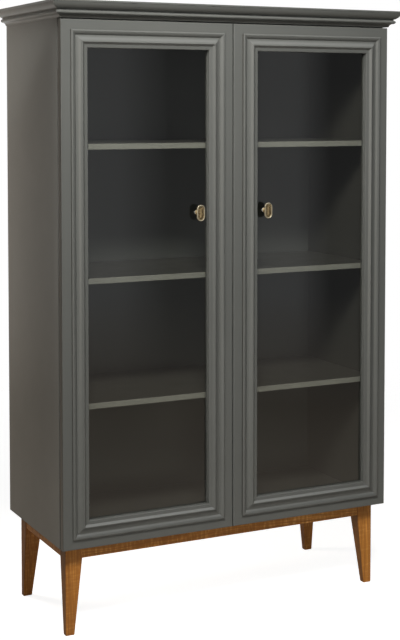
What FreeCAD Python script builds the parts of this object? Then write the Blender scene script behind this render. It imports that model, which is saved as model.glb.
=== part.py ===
import FreeCAD, Part
import os
import Sketcher
from types import SimpleNamespace
from FreeCAD import Placement, Rotation, Vector

# Free-standing bookcase with two glazed doors, three shelves, a moulded cornice and a base on tapered legs.
# The origin is on the floor under the middle of the object. X runs to the right, Y to the rear and Z up.

# Driving dimensions in millimetres
SIZES = {
    # Carcass of boards, with the back board in a rebate of the sides
    "carcass_width": "1130",
    "carcass_height": "1568",
    "side_depth": "458",
    "board": "18",
    "side_round": "3",
    "back_board": "8",
    "back_recess": "12",
    "back_rebate": "9",
    # Base frame: legs that taper on their two inner faces, aprons and corner blocks
    "base_height": "272",
    "apron_height": "42",
    "apron_board": "20",
    "apron_setback": "2",
    "apron_round": "2",
    "leg_side_inset": "23",
    "leg_front_inset": "15",
    "leg_rear_inset": "42",
    "leg_width": "54",
    "leg_depth": "45",
    "leg_round": "2",
    "foot_width": "28",
    "foot_depth": "20",
    "foot_chamfer": "1.5",
    "block_reach": "70",
    "block_height": "30",
    "block_screw_inset": "13",
    "block_screw": "4",
    "block_screw_head": "8",
    "block_screw_head_height": "2.5",
    "block_screw_bite": "12",
    # Cornice, mitred at the front corners, with a cap board in a rebate of its top
    "cornice_height": "50",
    "cornice_overhang": "35",
    "cornice_seat": "25",
    "cap_board": "8",
    "cap_ledge": "15",
    "rear_rail_board": "25",
    # Shelves on pins: the levels are their undersides, above the underside of the carcass
    "lower_shelf_level": "403",
    "middle_shelf_level": "780",
    "upper_shelf_level": "1182",
    "shelf_setback": "25",
    "shelf_end_clearance": "1",
    "shelf_back_clearance": "2",
    "shelf_round": "1.5",
    "pin_diameter": "5",
    "pin_length": "20",
    "pin_hole_depth": "10",
    "pin_inset": "40",
    # Doors: frame, planted moulding and glass
    "door_thickness": "22",
    "door_gap": "5",
    "door_head_gap": "3",
    "meeting_gap": "3",
    "door_round": "3",
    "stile_width": "75",
    "moulding_inset": "30",
    "moulding_width": "53",
    "moulding_rise": "10",
    "glass_setback": "14",
    "glass_thickness": "4",
    "glass_margin": "1",
    # Hinges, three to a door, in the gap between the door and the side panel
    "hinge_height": "60",
    "hinge_leaf": "1.4",
    "hinge_leaf_width": "13",
    "hinge_play": "0.4",
    "hinge_pin": "2",
    "hinge_pin_head": "1.2",
    "hinge_inset": "2.5",
    "hinge_end": "150",
    "hinge_screw_spread": "36",
    "hinge_screw_inset": "8",
    "hinge_screw": "3",
    "hinge_screw_head": "6",
    "hinge_screw_length": "14",
    # Knobs: an oval plate on a turned stem, screwed through the glass
    "knob_level": "987",
    "knob_inset": "116",
    "knob_plate_width": "28",
    "knob_plate_height": "50",
    "knob_plate_thickness": "4",
    "knob_rim": "3",
    "knob_recess": "1.5",
    "knob_stem_length": "23",
    "knob_flange": "16",
    "knob_screw": "4",
    "knob_screw_head": "9",
    "knob_screw_head_height": "2.5",
    "knob_screw_bite": "12",
    "knob_washer": "1",
    "knob_washer_diameter": "14",
    "glass_hole_clearance": "1",
    # Magnetic catches under the top panel and their strike plates
    "catch_width": "40",
    "catch_depth": "16",
    "catch_height": "12",
    "catch_inset": "45",
    "catch_play": "0.4",
    "strike_thickness": "1.2",
    # Radial clearance of pins and screws in their holes, and the overrun of every cut
    "fit": "0.05",
    "overrun": "1",
}

# Outline of the cornice above the carcass: shares of its overhang, inwards, and of its height.
# A third pair is the point that an arc passes through on its way there.
CORNICE_SHARES = [
    (0.0, 1.0),
    (0.0, 0.9),
    (0.04, 0.88),
    (0.49, 0.5, (0.21, 0.66)),
    (0.6, 0.48),
    (0.6, 0.42),
    (0.53, 0.4),
    (0.55, 0.22, (0.455, 0.31)),
    (0.6, 0.2),
    (0.92, 0.03, (0.81, 0.155)),
    (0.94, 0.0),
]

# Outline of the door moulding: shares of its width, from the outside in, and of its rise above the frame.
# It has a round bead, a cove that steepens up to a narrow ridge, a slope down from it and a bevel at the glass.
MOULDING_SHARES = [
    (0.0, 0.0),
    (0.0, 0.52),
    (0.1, 0.8, (0.03, 0.72)),
    (0.28, 0.12, (0.2, 0.55)),
    (0.3, 0.06),
    (0.635, 0.97, (0.49, 0.38)),
    (0.65, 1.0),
    (0.67, 1.0),
    (0.685, 0.96),
    (0.8, 0.38),
    (0.96, 0.26),
    (1.0, 0.06, (0.988, 0.2)),
]

# Outline of the knob stem: shares of its flange radius and of its length
STEM_SHARES = [
    (1.0, 0.0),
    (1.0, 0.1),
    (0.48, 0.32, (0.58, 0.18)),
    (0.48, 0.72),
    (0.8, 1.0, (0.55, 0.9)),
]

TO_REAR = Rotation(Vector(1, 0, 0), -90)
TO_FRONT = Rotation(Vector(1, 0, 0), 90)
TO_RIGHT = Rotation(Vector(0, 1, 0), 90)
TO_LEFT = Rotation(Vector(0, 1, 0), -90)
RIGHT, REAR, UP = Vector(1, 0, 0), Vector(0, 1, 0), Vector(0, 0, 1)

doc = FreeCAD.newDocument("bookcase")
sheet = doc.addObject("Spreadsheet::Sheet", "sizes")
for row, (alias, number) in enumerate(SIZES.items(), start=1):
    sheet.set(f"A{row}", alias)
    sheet.set(f"B{row}", number)
    sheet.setAlias(f"B{row}", alias)
doc.recompute()


class Size:
    """A length that follows the sheet: its value now and the expression that keeps it current."""

    def __init__(self, value, text):
        self.value = value
        self.text = text

    def __add__(self, other):
        return Size(self.value + other.value, f"({self.text} + {other.text})")

    def __sub__(self, other):
        return Size(self.value - other.value, f"({self.text} - {other.text})")

    def __mul__(self, share):
        return Size(self.value * share, f"({self.text} * {share})")

    def __truediv__(self, count):
        return Size(self.value / count, f"({self.text} / {count})")

    def __neg__(self):
        return self * -1


ZERO = Size(0.0, "0")
d = SimpleNamespace(**{alias: Size(float(sheet.get(alias)), f"sizes.{alias}") for alias in SIZES})

# Planes that several pieces share
half = d.carcass_width / 2
inner_half = half - d.board
overall_half = half + d.cornice_overhang
overall_depth = d.side_depth + d.door_gap + d.door_thickness + d.cornice_overhang
rear = overall_depth / 2
carcass_front = rear - d.side_depth
door_back = carcass_front - d.door_gap
door_front = door_back - d.door_thickness
cornice_tip = -rear
back_front = rear - d.back_recess - d.back_board
carcass_top = d.base_height + d.carcass_height
top_underside = carcass_top - d.board
door_height = d.carcass_height - d.door_head_gap
door_width = half - d.meeting_gap / 2
glass_front = door_front + d.glass_setback
glass_back = glass_front + d.glass_thickness
sight_line = d.moulding_inset + d.moulding_width
pin_hole_radius = d.pin_diameter / 2 + d.fit

nodes = []


def node(piece):
    """Marks a finished piece as one that is written out under its label."""
    nodes.append(piece)
    return piece


def bind(piece, **sizes):
    for name, size in sizes.items():
        piece.setExpression(name, size.text)


def place(piece, x, y, z, rotation=Rotation()):
    piece.Placement = Placement(Vector(), rotation)
    for axis, size in zip("xyz", (x, y, z)):
        piece.setExpression(f"Placement.Base.{axis}", size.text)
    return piece


def block(name, size, corner):
    """A plain board or block, from its left, front, lower corner."""
    piece = doc.addObject("Part::Box", name)
    bind(piece, Length=size[0], Width=size[1], Height=size[2])
    return place(piece, *corner)


def rod(name, radius, length, start, rotation=Rotation()):
    piece = doc.addObject("Part::Cylinder", name)
    bind(piece, Radius=radius, Height=length)
    return place(piece, *start, rotation)


def taper(name, start_radius, end_radius, length, start, rotation):
    piece = doc.addObject("Part::Cone", name)
    bind(piece, Radius1=start_radius, Radius2=end_radius, Height=length)
    return place(piece, *start, rotation)


def group(name, pieces):
    """Separate solids that share one node."""
    piece = doc.addObject("Part::Compound", name)
    piece.Links = pieces
    return piece


def joined(name, pieces):
    piece = doc.addObject("Part::MultiFuse", name)
    piece.Shapes = pieces
    return piece


def cut(name, base, tools):
    piece = doc.addObject("Part::Cut", name)
    piece.Base = base
    piece.Tool = tools[0] if len(tools) == 1 else group(f"{name}_cuts", tools)
    return piece


def nearest_edge(shape, point):
    distances = [(edge.CenterOfMass - point).Length for edge in shape.Edges]
    return f"Edge{distances.index(min(distances)) + 1}"


def rounded_board(name, size, corner, radius, edge_shares):
    """A board with some edges rounded, each named by the place of its middle in shares of the board."""
    body = doc.addObject("PartDesign::Body", name)
    board = body.newObject("PartDesign::AdditiveBox", f"{name}_board")
    bind(board, Length=size[0], Width=size[1], Height=size[2])
    doc.recompute()
    edges = []
    for shares in edge_shares:
        middle = Vector(*[share * length.value for share, length in zip(shares, size)])
        edges.append(nearest_edge(board.Shape, middle))
    rounding = body.newObject("PartDesign::Fillet", f"{name}_rounding")
    rounding.Base = (board, edges)
    bind(rounding, Radius=radius)
    return place(body, *corner)


def fix_point(sketch, geometry, vertex, x, y):
    for kind, size in (("DistanceX", x), ("DistanceY", y)):
        index = sketch.addConstraint(Sketcher.Constraint(kind, -1, 1, geometry, vertex, size.value))
        sketch.setExpression(f"Constraints[{index}]", size.text)


def draw(sketch, points):
    """Draws a closed outline of lines, and of arcs where a point gives one to pass through."""
    ends = []
    for start, end in zip(points, points[1:] + points[:1]):
        a = Vector(start[0].value, start[1].value, 0)
        b = Vector(end[0].value, end[1].value, 0)
        if len(end) == 2:
            ends.append((sketch.addGeometry(Part.LineSegment(a, b)), 1, 2))
            continue
        through = Vector(end[2][0].value, end[2][1].value, 0)
        if (through - a).cross(b - through).z > 0:
            ends.append((sketch.addGeometry(Part.Arc(a, through, b)), 1, 2))
        else:
            ends.append((sketch.addGeometry(Part.Arc(b, through, a)), 2, 1))
        mark = sketch.addGeometry(Part.Point(through), True)
        fix_point(sketch, mark, 1, *end[2])
        sketch.addConstraint(Sketcher.Constraint("PointOnObject", mark, 1, ends[-1][0]))
    for (this, first, last), (after, after_first, _) in zip(ends, ends[1:] + ends[:1]):
        sketch.addConstraint(Sketcher.Constraint("Coincident", this, last, after, after_first))
    for (geometry, first, _), point in zip(ends, points):
        fix_point(sketch, geometry, first, point[0], point[1])


def draw_circle(sketch, x, y, radius):
    circle = sketch.addGeometry(Part.Circle(Vector(x.value, y.value, 0), UP, radius.value))
    fix_point(sketch, circle, 3, x, y)
    index = sketch.addConstraint(Sketcher.Constraint("Radius", circle, radius.value))
    sketch.setExpression(f"Constraints[{index}]", radius.text)


def sketch_on(body, role, name, points):
    sketch = body.newObject("Sketcher::SketchObject", name)
    plane = next(plane for plane in body.Origin.OriginFeatures if plane.Role == role)
    sketch.AttachmentSupport = [(plane, "")]
    sketch.MapMode = "FlatFace"
    draw(sketch, points)
    return sketch


def pad(body, name, sketch, length):
    piece = body.newObject("PartDesign::Pad", name)
    piece.Profile = sketch
    bind(piece, Length=length)
    return piece


def in_shares(shares, across, up, start=ZERO):
    """The points of an outline, from shares of two sizes."""
    points = []
    for x, y, *through in shares:
        point = (start + across * x, up * y)
        arc = tuple((start + across * a, up * b) for a, b in through)
        points.append(point + arc)
    return points


def mitred_length(name, outline, length, reach, mitres, corner, axes):
    """A moulding along its own Z axis, with its outline inwards and up, mitred at its start or end."""
    body = doc.addObject("PartDesign::Body", name)
    pad(body, f"{name}_run", sketch_on(body, "XY_Plane", f"{name}_outline", outline), length)
    doc.recompute()
    for end in mitres:
        whole = body.Shape.Volume
        edge, inner = (ZERO, reach) if end == "start" else (length, length - reach)
        wedge = sketch_on(body, "XZ_Plane", f"{name}_{end}_wedge", [(ZERO, edge), (reach, edge), (reach, inner)])
        mitre = body.newObject("PartDesign::Pocket", f"{name}_{end}_mitre")
        mitre.Profile = wedge
        mitre.Type = "ThroughAll"
        mitre.SideType = "Symmetric"
        doc.recompute()
        if body.Shape.Volume >= whole:
            raise ValueError(f"{name}: the mitre at its {end} cuts nothing")
    return node(place(body, *corner, Rotation(*axes, "XYZ")))


def mirrored(side, low, high):
    """The lower end, along X, of what spans low to high on the right side, or its mirror on the left."""
    return low if side > 0 else -high


def hinge_levels():
    """The lower ends of a door's three hinges."""
    lowest = d.base_height + d.hinge_end
    highest = d.base_height + door_height - d.hinge_end - d.hinge_height
    return [lowest, (lowest + highest) / 2, highest]


def hinge_screw_levels():
    """Two screws to a leaf."""
    middle = d.hinge_height / 2
    spread = d.hinge_screw_spread / 2
    return [level + middle + offset for level in hinge_levels() for offset in (-spread, spread)]


def shelf_levels():
    return {"lower": d.lower_shelf_level, "middle": d.middle_shelf_level, "upper": d.upper_shelf_level}


shelf_front = carcass_front + d.shelf_setback
shelf_depth = back_front - d.shelf_back_clearance - shelf_front
hinge_axis_x = half - d.hinge_inset
hinge_axis_y = carcass_front - d.door_gap / 2
hinge_screw_x = hinge_axis_x - d.hinge_screw_inset


def pin_places():
    """Height and depth of the shelf pins' axes in one side panel."""
    drop = d.pin_diameter / 2 + d.fit
    depths = (shelf_front + d.pin_inset, shelf_front + shelf_depth - d.pin_inset)
    return [(y, d.base_height + level - drop) for level in shelf_levels().values() for y in depths]


def side_panel(name, side):
    """Rounded at its front outer edge, rebated for the back and bored for shelf pins and hinge screws."""
    outer_share = (1 + side) / 2
    size = (d.board, d.side_depth, d.carcass_height)
    corner = (mirrored(side, inner_half, half), carcass_front, d.base_height)
    board = rounded_board(f"{name}_blank", size, corner, d.side_round, [(outer_share, 0, 0.5)])
    rebate_x = mirrored(side, inner_half - d.overrun, inner_half + d.back_rebate)
    rebate_size = (d.back_rebate + d.overrun, rear - back_front + d.overrun, d.carcass_height)
    cuts = [block(f"{name}_rebate", rebate_size, (rebate_x, back_front, d.base_height))]
    inward = TO_RIGHT if side > 0 else TO_LEFT
    bore_start = (inner_half - d.overrun) * side
    for index, (y, z) in enumerate(pin_places()):
        bore = d.pin_hole_depth + d.overrun
        cuts.append(rod(f"{name}_pin_hole_{index}", pin_hole_radius, bore, (bore_start, y, z), inward))
    screw_depth = d.hinge_screw_length + d.overrun
    for index, z in enumerate(hinge_screw_levels()):
        start = (hinge_screw_x * side, carcass_front - d.overrun, z)
        radius = d.hinge_screw / 2 + d.fit
        cuts.append(rod(f"{name}_screw_hole_{index}", radius, screw_depth + d.overrun, start, TO_REAR))
    return node(cut(name, board, cuts))


def base_corners():
    """The outer corner of each leg, and the signs that point inwards from it."""
    corner_x = half - d.leg_side_inset
    front = carcass_front + d.leg_front_inset
    back = rear - d.leg_rear_inset
    return {
        "front_left": (-corner_x, front, 1, 1),
        "front_right": (corner_x, front, -1, 1),
        "rear_left": (-corner_x, back, 1, -1),
        "rear_right": (corner_x, back, -1, -1),
    }


def block_screw_place(x, y, inward_x, inward_y):
    across = d.leg_width + d.block_screw_inset
    along = d.leg_depth + d.block_screw_inset
    return x + across * inward_x, y + along * inward_y


def carcass():
    side_panel("left_side_panel", -1)
    side_panel("right_side_panel", 1)
    inner_width = inner_half * 2
    depth = back_front - carcass_front
    node(block("top_panel", (inner_width, depth, d.board), (-inner_half, carcass_front, top_underside)))
    bottom_corner = (-inner_half, carcass_front, d.base_height)
    bottom = block("bottom_panel_board", (inner_width, depth, d.board), bottom_corner)
    holes = []
    for name, leg in base_corners().items():
        x, y = block_screw_place(*leg)
        radius = d.block_screw / 2 + d.fit
        length = d.block_screw_bite + d.overrun * 2
        holes.append(rod(f"bottom_hole_{name}", radius, length, (x, y, d.base_height - d.overrun)))
    node(cut("bottom_panel", bottom, holes))
    back_half = inner_half + d.back_rebate
    back_size = (back_half * 2, d.back_board, d.carcass_height)
    node(block("back_panel", back_size, (-back_half, back_front, d.base_height)))


def shelves():
    end = inner_half - d.shelf_end_clearance
    for name, level in shelf_levels().items():
        corner = (-end, shelf_front, d.base_height + level)
        front_edges = [(0.5, 0, 0), (0.5, 0, 1)]
        node(rounded_board(f"{name}_shelf", (end * 2, shelf_depth, d.board), corner, d.shelf_round, front_edges))
    pins = []
    for side, inward in ((-1, TO_LEFT), (1, TO_RIGHT)):
        start = (inner_half + d.pin_hole_depth - d.pin_length) * side
        for y, z in pin_places():
            name = f"shelf_pin_{len(pins)}"
            pins.append(rod(name, d.pin_diameter / 2, d.pin_length, (start, y, z), inward))
    node(group("shelf_pins", pins))


def outer_edges(shape):
    """The upright edges of a leg that lie on one of its two outer faces, which pass through its origin."""
    found = []
    for i, edge in enumerate(shape.Edges, start=1):
        box = edge.BoundBox
        outer = min(max(abs(box.XMin), abs(box.XMax)), max(abs(box.YMin), abs(box.YMax))) < d.fit.value
        if outer and box.ZLength > d.leg_round.value:
            found.append(f"Edge{i}")
    return found


def sole_edges(shape):
    return [f"Edge{i}" for i, edge in enumerate(shape.Edges, start=1) if edge.BoundBox.ZMax < d.fit.value]


def leg(name, x, y, inward_x, inward_y):
    """Plumb on its two outer faces and tapered on its two inner faces, below a straight block."""
    body = doc.addObject("PartDesign::Body", name)
    outlines = []
    for level, width, depth in (("foot", d.foot_width, d.foot_depth), ("shoulder", d.leg_width, d.leg_depth)):
        across, along = width * inward_x, depth * inward_y
        points = [(ZERO, ZERO), (across, ZERO), (across, along), (ZERO, along)]
        outlines.append(sketch_on(body, "XY_Plane", f"{name}_{level}", points))
    foot, shoulder = outlines
    shoulder.setExpression("AttachmentOffset.Base.z", (d.base_height - d.apron_height).text)
    shaft = body.newObject("PartDesign::AdditiveLoft", f"{name}_taper")
    shaft.Profile = foot
    shaft.Sections = [shoulder]
    shaft.Ruled = True
    top = pad(body, f"{name}_block", shoulder, d.apron_height)
    doc.recompute()
    rounding = body.newObject("PartDesign::Fillet", f"{name}_rounding")
    rounding.Base = (top, outer_edges(top.Shape))
    bind(rounding, Radius=d.leg_round)
    doc.recompute()
    easing = body.newObject("PartDesign::Chamfer", f"{name}_easing")
    easing.Base = (rounding, sole_edges(rounding.Shape))
    bind(easing, Size=d.foot_chamfer)
    return node(place(body, x, y, ZERO))


def corner_block(name, x, y, inward_x, inward_y):
    """Fits round the leg's inner corner, against both aprons."""
    apron_inside = d.apron_setback + d.apron_board
    shape = [
        (d.leg_width, apron_inside),
        (d.leg_width + d.block_reach, apron_inside),
        (apron_inside, d.leg_depth + d.block_reach),
        (apron_inside, d.leg_depth),
        (d.leg_width, d.leg_depth),
    ]
    body = doc.addObject("PartDesign::Body", name)
    points = [(across * inward_x, along * inward_y) for across, along in shape]
    sketch = sketch_on(body, "XY_Plane", f"{name}_outline", points)
    screw_x, screw_y = block_screw_place(ZERO, ZERO, inward_x, inward_y)
    draw_circle(sketch, screw_x, screw_y, d.block_screw / 2 + d.fit)
    pad(body, f"{name}_block", sketch, d.block_height)
    return place(body, x, y, d.base_height - d.block_height)


def base():
    corners = base_corners()
    for name, corner in corners.items():
        leg(f"{name}_leg", *corner)
    left_x, front_y = corners["front_left"][:2]
    right_x, rear_y = corners["rear_right"][:2]
    level = d.base_height - d.apron_height
    setback = d.apron_setback
    span_x = right_x - left_x - d.leg_width * 2
    span_y = rear_y - front_y - d.leg_depth * 2
    across = (span_x, d.apron_board, d.apron_height)
    along = (d.apron_board, span_y, d.apron_height)
    inset = setback + d.apron_board
    lower_across = [(0.5, 0.0, 0.0), (0.5, 1.0, 0.0)]
    lower_along = [(0.0, 0.5, 0.0), (1.0, 0.5, 0.0)]
    aprons = [
        ("front_apron", across, (left_x + d.leg_width, front_y + setback, level), lower_across),
        ("rear_apron", across, (left_x + d.leg_width, rear_y - inset, level), lower_across),
        ("left_apron", along, (left_x + setback, front_y + d.leg_depth, level), lower_along),
        ("right_apron", along, (right_x - inset, front_y + d.leg_depth, level), lower_along),
    ]
    for name, size, corner, edges in aprons:
        node(rounded_board(name, size, corner, d.apron_round, edges))
    node(group("corner_blocks", [corner_block(f"{name}_block", *corner) for name, corner in corners.items()]))
    screws = []
    block_underside = d.base_height - d.block_height
    for name, corner in corners.items():
        x, y = block_screw_place(*corner)
        head_at = (x, y, block_underside - d.block_screw_head_height)
        head = rod(f"{name}_screw_head", d.block_screw_head / 2, d.block_screw_head_height, head_at)
        shank_length = d.block_screw_head_height + d.block_height + d.block_screw_bite
        shank = rod(f"{name}_screw_shank", d.block_screw / 2, shank_length, head_at)
        screws.append(joined(f"{name}_block_screw", [head, shank]))
    node(group("corner_block_screws", screws))


def cornice():
    width = d.cornice_overhang + d.door_thickness + d.door_gap + d.cornice_seat
    cap_level = d.cornice_height - d.cap_board
    outline = in_shares(CORNICE_SHARES, d.cornice_overhang, d.cornice_height) + [
        (width, ZERO),
        (width, cap_level),
        (width - d.cap_ledge, cap_level),
        (width - d.cap_ledge, d.cornice_height),
    ]
    reach = width + d.overrun
    lengths = [
        ("front_cornice", overall_half * 2, ("start", "end"), (-overall_half, cornice_tip), (REAR, UP, RIGHT)),
        ("left_cornice", overall_depth, ("end",), (-overall_half, rear), (RIGHT, UP, -REAR)),
        ("right_cornice", overall_depth, ("start",), (overall_half, cornice_tip), (-RIGHT, UP, REAR)),
    ]
    for name, length, mitres, (x, y), axes in lengths:
        mitred_length(name, outline, length, reach, mitres, (x, y, carcass_top), axes)
    inside = overall_half - width
    rail_size = (inside * 2, d.rear_rail_board, cap_level)
    node(block("cornice_rear_rail", rail_size, (-inside, rear - d.rear_rail_board, carcass_top)))
    cap_half = inside + d.cap_ledge
    cap_front = cornice_tip + width - d.cap_ledge
    cap_size = (cap_half * 2, rear - cap_front, d.cap_board)
    node(block("cornice_cap", cap_size, (-cap_half, cap_front, carcass_top + cap_level)))


def hinge_leaf(name, side, level, on_door):
    """A plate on the door or the side panel, with its share of the knuckles round the pin."""
    barrel = d.door_gap / 2 - d.hinge_play
    seat = d.door_gap / 2
    third = d.hinge_height / 3
    plate_y = hinge_axis_y - seat if on_door else hinge_axis_y + seat - d.hinge_leaf
    plate_x = mirrored(side, hinge_axis_x - d.hinge_leaf_width, hinge_axis_x)
    plate_size = (d.hinge_leaf_width, d.hinge_leaf, d.hinge_height)
    solids = [block(f"{name}_plate", plate_size, (plate_x, plate_y, level))]
    axis_x = hinge_axis_x * side
    bottom, middle, top = level, level + third, level + third * 2
    knuckles = [middle] if on_door else [bottom, top]
    others = [bottom, top] if on_door else [middle]
    for index, z in enumerate(knuckles):
        start = (axis_x, hinge_axis_y, z + d.hinge_play / 2)
        solids.append(rod(f"{name}_knuckle_{index}", barrel, third - d.hinge_play, start))
    clear = barrel + d.hinge_play
    cuts = [rod(f"{name}_bore", d.hinge_pin / 2 + d.fit, d.hinge_height, (axis_x, hinge_axis_y, level))]
    for index, z in enumerate(others):
        notch_x = mirrored(side, hinge_axis_x - clear, hinge_axis_x + clear)
        notch_size = (clear * 2, d.hinge_leaf, third + d.hinge_play)
        cuts.append(block(f"{name}_notch_{index}", notch_size, (notch_x, plate_y, z - d.hinge_play / 2)))
    sunk_y = hinge_axis_y - seat + d.hinge_leaf if on_door else plate_y
    head, shank = d.hinge_screw_head / 2 + d.fit, d.hinge_screw / 2 + d.fit
    for index, offset in enumerate((-d.hinge_screw_spread / 2, d.hinge_screw_spread / 2)):
        start = (hinge_screw_x * side, sunk_y, level + d.hinge_height / 2 + offset)
        drive = TO_FRONT if on_door else TO_REAR
        cuts.append(taper(f"{name}_sink_{index}", head, shank, d.hinge_leaf, start, drive))
    return cut(name, joined(f"{name}_blank", solids), cuts)


def hinge_screws(name, side, on_door):
    """Countersunk screws through the leaves into the door or the side panel."""
    screws = []
    seat = d.door_gap / 2 - d.hinge_leaf
    head_y = hinge_axis_y - seat if on_door else hinge_axis_y + seat
    shank_y = head_y - d.hinge_leaf if on_door else head_y + d.hinge_leaf
    drive = TO_FRONT if on_door else TO_REAR
    x = hinge_screw_x * side
    for index, z in enumerate(hinge_screw_levels()):
        radius = d.hinge_screw / 2
        head = taper(f"{name}_head_{index}", d.hinge_screw_head / 2, radius, d.hinge_leaf, (x, head_y, z), drive)
        shank = rod(f"{name}_shank_{index}", radius, d.hinge_screw_length, (x, shank_y, z), drive)
        screws.append(joined(f"{name}_{index}", [head, shank]))
    return screws


def case_hinges():
    """The leaves, pins and screws of all hinges that stay on the carcass."""
    leaves, pins, screws = [], [], []
    for hand, side in (("left", -1), ("right", 1)):
        for index, level in enumerate(hinge_levels()):
            leaves.append(hinge_leaf(f"{hand}_case_leaf_{index}", side, level, False))
            foot = (hinge_axis_x * side, hinge_axis_y, level)
            shaft = rod(f"{hand}_pin_shaft_{index}", d.hinge_pin / 2, d.hinge_height, foot)
            head_at = (foot[0], foot[1], level + d.hinge_height)
            head_radius = d.door_gap / 2 - d.hinge_play
            head = rod(f"{hand}_pin_head_{index}", head_radius, d.hinge_pin_head, head_at)
            pins.append(joined(f"{hand}_hinge_pin_{index}", [shaft, head]))
        screws += hinge_screws(f"{hand}_case_hinge_screw", side, False)
    node(group("hinge_case_leaves", leaves))
    node(group("hinge_pins", pins))
    node(group("hinge_case_screws", screws))


def catches():
    """A magnet in a case under the top panel for each door."""
    front = door_back + d.strike_thickness + d.catch_play
    size = (d.catch_width, d.catch_depth, d.catch_height)
    cases = []
    for hand, side in (("left", -1), ("right", 1)):
        x = d.catch_inset * side - d.catch_width / 2
        cases.append(block(f"{hand}_catch", size, (x, front, top_underside - d.catch_height)))
    node(group("magnetic_catches", cases))


def door_frame(door, side, edge_x):
    """Two full-height stiles and two rails, with their front outer edges rounded."""
    outer_share = (1 + side) / 2
    inner_share = 1 - outer_share
    stile = (d.stile_width, d.door_thickness, door_height)
    ends = [(0.5, 0, 0), (0.5, 0, 1)]
    hinge_x = mirrored(side, half - d.stile_width, half)
    hinge_edges = ends + [(outer_share, 0, 0.5), (outer_share, 1, 0.5)]
    blank_at = (hinge_x, door_front, d.base_height)
    blank = rounded_board(f"{door}_hinge_stile_blank", stile, blank_at, d.door_round, hinge_edges)
    holes = []
    for index, z in enumerate(hinge_screw_levels()):
        start = (hinge_screw_x * side, door_back + d.overrun, z)
        length = d.hinge_screw_length + d.overrun * 2
        holes.append(rod(f"{door}_stile_hole_{index}", d.hinge_screw / 2 + d.fit, length, start, TO_FRONT))
    node(cut(f"{door}_hinge_stile", blank, holes))
    meeting = d.meeting_gap / 2
    meeting_x = mirrored(side, meeting, meeting + d.stile_width)
    meeting_edges = ends + [(inner_share, 0, 0.5)]
    meeting_at = (meeting_x, door_front, d.base_height)
    node(rounded_board(f"{door}_meeting_stile", stile, meeting_at, d.door_round, meeting_edges))
    rail = (door_width - d.stile_width * 2, d.door_thickness, d.stile_width)
    rail_x = edge_x + d.stile_width
    top_z = d.base_height + door_height - d.stile_width
    for name, z, edge in (("bottom_rail", d.base_height, (0.5, 0, 0)), ("top_rail", top_z, (0.5, 0, 1))):
        node(rounded_board(f"{door}_{name}", rail, (rail_x, door_front, z), d.door_round, [edge]))


def door_moulding(door, side, edge_x):
    """Four mitred lengths planted on the frame, with a lip inside it that the glass lies against."""
    outline = in_shares(MOULDING_SHARES, d.moulding_width, d.moulding_rise, d.moulding_inset) + [
        (sight_line, -d.glass_setback),
        (d.stile_width, -d.glass_setback),
        (d.stile_width, ZERO),
    ]
    far_x = edge_x + door_width
    bottom = d.base_height
    top = bottom + door_height
    hinge_name, meeting_name = f"{door}_hinge_moulding", f"{door}_meeting_moulding"
    left, right = (hinge_name, meeting_name) if side < 0 else (meeting_name, hinge_name)
    lengths = [
        (f"{door}_bottom_moulding", door_width, (edge_x, bottom), (UP, -REAR, RIGHT)),
        (right, door_height, (far_x, bottom), (-RIGHT, -REAR, UP)),
        (f"{door}_top_moulding", door_width, (far_x, top), (-UP, -REAR, -RIGHT)),
        (left, door_height, (edge_x, top), (RIGHT, -REAR, -UP)),
    ]
    reach = sight_line + d.overrun
    for name, length, (x, z), axes in lengths:
        mitred_length(name, outline, length, reach, ("start", "end"), (x, door_front, z), axes)


def door_glass(door, edge_x, knob_x, knob_z):
    """The pane, bored for the knob's screw, and the beads that hold it from behind."""
    inset = d.stile_width + d.glass_margin
    size = (door_width - inset * 2, d.glass_thickness, door_height - inset * 2)
    pane = block(f"{door}_glass_sheet", size, (edge_x + inset, glass_front, d.base_height + inset))
    radius = d.knob_screw / 2 + d.glass_hole_clearance
    start = (knob_x, glass_front - d.overrun, knob_z)
    hole = rod(f"{door}_glass_hole", radius, d.glass_thickness + d.overrun * 2, start, TO_REAR)
    node(cut(f"{door}_glass", pane, [hole]))
    bead = sight_line - d.stile_width
    depth = door_back - glass_back
    left, right = edge_x + d.stile_width, edge_x + door_width - sight_line
    low, high = d.base_height + d.stile_width, d.base_height + door_height - sight_line
    upright = (bead, depth, door_height - d.stile_width * 2)
    lying = (door_width - sight_line * 2, depth, bead)
    node(
        group(
            f"{door}_glazing_beads",
            [
                block(f"{door}_left_bead", upright, (left, glass_back, low)),
                block(f"{door}_right_bead", upright, (right, glass_back, low)),
                block(f"{door}_bottom_bead", lying, (left + bead, glass_back, low)),
                block(f"{door}_top_bead", lying, (left + bead, glass_back, high)),
            ],
        )
    )


def oval(width, height):
    """A round-ended outline about the origin."""
    side_x, straight = width / 2, (height - width) / 2
    tip = height / 2
    return [
        (side_x, -straight, (ZERO, -tip)),
        (side_x, straight),
        (-side_x, straight, (ZERO, tip)),
        (-side_x, -straight),
    ]


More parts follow.
